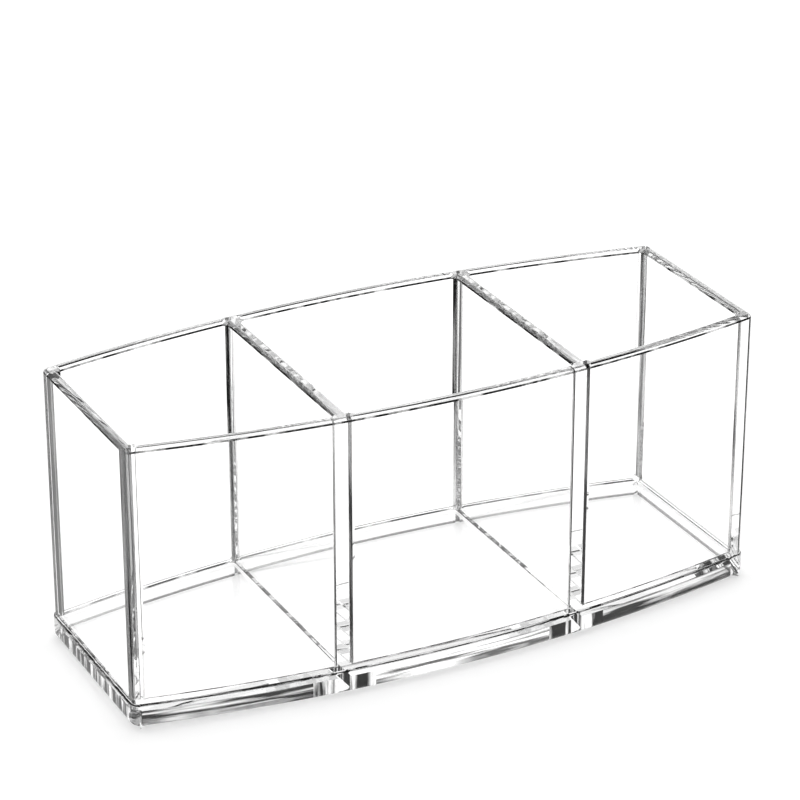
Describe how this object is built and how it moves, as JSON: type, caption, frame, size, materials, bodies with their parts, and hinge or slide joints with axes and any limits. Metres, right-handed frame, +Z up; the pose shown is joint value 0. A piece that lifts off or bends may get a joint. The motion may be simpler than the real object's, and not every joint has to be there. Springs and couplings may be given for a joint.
{
  "type": "makeup organizer",
  "caption": "Open-topped clear acrylic make-up brush holder with compartments side by side, bowed front and back walls, flat ends, upright dividers and a thick, hollow base.",
  "frame": {"origin": "centre of the underside, on the surface that the organizer stands on", "axes": "+X along the width to the right, -Y to the front, +Z up"},
  "size_m": [0.2116, 0.0876, 0.091],
  "materials": {
    "clear_acrylic": "clear colourless acrylic, polished faces and edges"
  },
  "bodies": {
    "root": {"base_plate": "clear_acrylic", "front_wall": "clear_acrylic", "back_wall": "clear_acrylic", "left_end_wall": "clear_acrylic", "right_end_wall": "clear_acrylic", "left_divider": "clear_acrylic", "right_divider": "clear_acrylic"}
  },
  "joints": []
}
